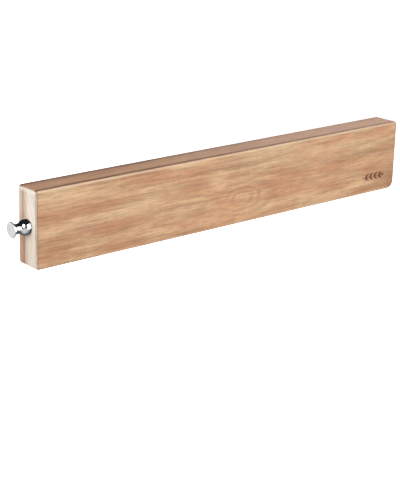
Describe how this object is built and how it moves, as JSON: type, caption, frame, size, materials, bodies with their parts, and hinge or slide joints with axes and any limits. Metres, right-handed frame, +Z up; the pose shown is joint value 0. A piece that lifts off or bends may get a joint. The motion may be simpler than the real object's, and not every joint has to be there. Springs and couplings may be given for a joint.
{
  "type": "magnetic knife rack",
  "caption": "Wall-mounted wooden bar with hidden magnet rows behind a thin front skin, keyhole hangers in its back and a turned metal hanging peg on one end.",
  "frame": {"origin": "centre of the back face, on the wall plane", "axes": "+X along the bar to the right as seen from the front, +Y into the wall, +Z up"},
  "size_m": [0.3695, 0.0215, 0.0564],
  "materials": {
    "front_wood": "oiled acacia, fine pores, warm tan",
    "back_wood": "oiled acacia, redder strip",
    "peg_chrome": "polished, with a satin head face",
    "washer_nylon": "natural nylon",
    "stud_steel": "zinc plated thread",
    "insert_brass": "machined",
    "hanger_zinc": "zinc plated sheet",
    "screw_steel": "zinc plated",
    "strip_steel": "plain mild steel",
    "magnet_ferrite": "sintered ferrite, dark grey"
  },
  "bodies": {
    "bar": {"front_board": "front_wood", "back_board": "back_wood", "upper_steel_strip": "strip_steel", "lower_steel_strip": "strip_steel", "upper_magnet_1": "magnet_ferrite", "upper_magnet_2": "magnet_ferrite", "upper_magnet_3": "magnet_ferrite", "upper_magnet_4": "magnet_ferrite", "upper_magnet_5": "magnet_ferrite", "upper_magnet_6": "magnet_ferrite", "upper_magnet_7": "magnet_ferrite", "upper_magnet_8": "magnet_ferrite", "lower_magnet_1": "magnet_ferrite", "lower_magnet_2": "magnet_ferrite", "lower_magnet_3": "magnet_ferrite", "lower_magnet_4": "magnet_ferrite", "lower_magnet_5": "magnet_ferrite", "lower_magnet_6": "magnet_ferrite", "lower_magnet_7": "magnet_ferrite", "lower_magnet_8": "magnet_ferrite", "left_hanger_plate": "hanger_zinc", "right_hanger_plate": "hanger_zinc", "hanger_screws": "screw_steel", "peg_insert": "insert_brass"},
    "washer": {"peg_washer": "washer_nylon"},
    "peg": {"peg": "peg_chrome", "peg_stud": "stud_steel"}
  },
  "joints": [
    {"name": "peg_travel", "type": "slide", "parent": "bar", "child": "washer", "axis": [-1, 0, 0], "range_m": [0, 0.00841]},
    {"name": "peg_turn", "type": "hinge", "parent": "washer", "child": "peg", "pos_m": [-0.1785, -0.01125, 0.001], "axis": [-1, 0, 0], "range_deg": [0, 4320]}
  ],
  "couplings": [
    {"joint": "peg_travel", "follows": "peg_turn", "m_per_rad": 0.00011141}
  ]
}
